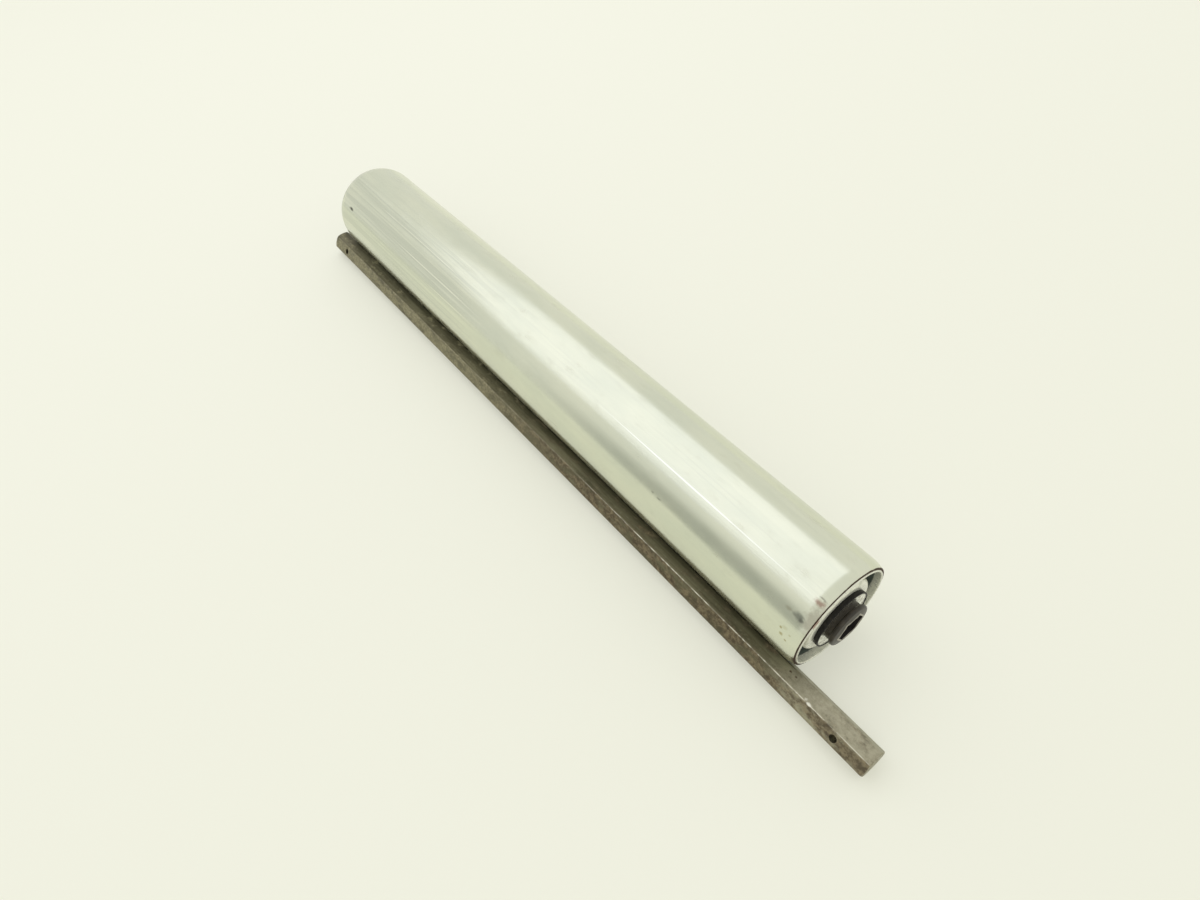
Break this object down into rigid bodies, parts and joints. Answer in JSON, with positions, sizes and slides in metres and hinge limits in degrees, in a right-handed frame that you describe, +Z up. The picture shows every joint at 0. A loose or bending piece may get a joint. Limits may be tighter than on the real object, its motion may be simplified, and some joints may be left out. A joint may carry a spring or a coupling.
{
  "type": "conveyor roller",
  "caption": "Plated steel conveyor roller with a pressed-in ball bearing at each end, and its hexagon axle drawn out and lying beside it.",
  "frame": {"origin": "on the floor, under the middle of the box round the roller and its loose axle", "axes": "+X along the roller's axis towards its right-hand end, +Y from the loose axle to the roller, +Z up"},
  "size_m": [0.4064, 0.0544, 0.0483],
  "materials": {
    "tube_zinc": "bright zinc plating, faintly streaked lengthwise, with small stains",
    "axle_steel": "raw drawn bar with mill scale and patches of rust",
    "cup_zinc": "pressed sheet, bright zinc plating",
    "race_steel": "ground and lightly oiled",
    "ball_steel": "polished",
    "cage_nylon": "natural moulded nylon",
    "hub_black": "satin black, moulded",
    "seal_black": "satin black, moulded",
    "washer_bright": "bright zinc plating",
    "spring_steel": "blackened spring steel"
  },
  "bodies": {
    "roller": {"roller_tube": "tube_zinc", "axle": "axle_steel", "right_cup": "cup_zinc", "right_outer_race": "race_steel", "right_back_plate": "cup_zinc", "left_cup": "cup_zinc", "left_outer_race": "race_steel", "left_back_plate": "cup_zinc"},
    "right_hub_set": {"right_hub": "hub_black", "right_inner_race": "race_steel", "right_seal": "seal_black", "right_washer": "washer_bright", "right_retaining_ring": "spring_steel"},
    "right_ball_set": {"right_balls": "ball_steel", "right_ball_cage": "cage_nylon"},
    "left_hub_set": {"left_hub": "hub_black", "left_inner_race": "race_steel", "left_seal": "seal_black", "left_washer": "washer_bright", "left_retaining_ring": "spring_steel"},
    "left_ball_set": {"left_balls": "ball_steel", "left_ball_cage": "cage_nylon"}
  },
  "joints": [
    {"name": "right_hub_spin", "type": "hinge", "parent": "roller", "child": "right_hub_set", "pos_m": [0.1637, 0.00311, 0.02413], "axis": [1, 0, 0], "continuous": true},
    {"name": "right_ball_spin", "type": "hinge", "parent": "roller", "child": "right_ball_set", "pos_m": [0.1637, 0.00311, 0.02413], "axis": [1, 0, 0], "continuous": true},
    {"name": "left_hub_spin", "type": "hinge", "parent": "roller", "child": "left_hub_set", "pos_m": [-0.1919, 0.00311, 0.02413], "axis": [1, 0, 0], "continuous": true},
    {"name": "left_ball_spin", "type": "hinge", "parent": "roller", "child": "left_ball_set", "pos_m": [-0.1919, 0.00311, 0.02413], "axis": [1, 0, 0], "continuous": true}
  ],
  "couplings": [
    {"joint": "right_ball_spin", "follows": "right_hub_spin", "ratio": 0.3988},
    {"joint": "left_ball_spin", "follows": "left_hub_spin", "ratio": 0.3988}
  ]
}
